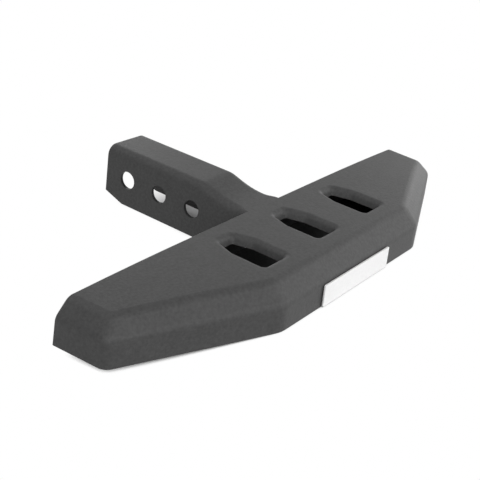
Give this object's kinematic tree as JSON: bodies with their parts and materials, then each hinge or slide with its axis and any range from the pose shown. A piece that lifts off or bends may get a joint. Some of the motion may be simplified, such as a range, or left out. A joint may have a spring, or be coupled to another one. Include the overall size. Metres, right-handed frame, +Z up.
{
  "type": "hitch receiver step",
  "caption": "Hitch step: a pressed steel bar with sloped edges and drawn slots, closed below by a flat plate, on a channel shank with cross holes for a hitch pin, and a bare badge plate.",
  "frame": {"origin": "on the middle plane, at the step bar's rear face, level with the shank's lower edges", "axes": "+X along the step bar, +Y along the shank towards its free end, +Z up"},
  "size_m": [0.4778, 0.2558, 0.0508],
  "materials": {
    "coated_steel": "fine textured charcoal powder coat",
    "pad": "matt",
    "bright_plate": "bright satin"
  },
  "bodies": {
    "root": {"step_body": "coated_steel", "bottom_plate": "coated_steel", "badge_pad": "pad", "badge_plate": "bright_plate"}
  },
  "joints": []
}
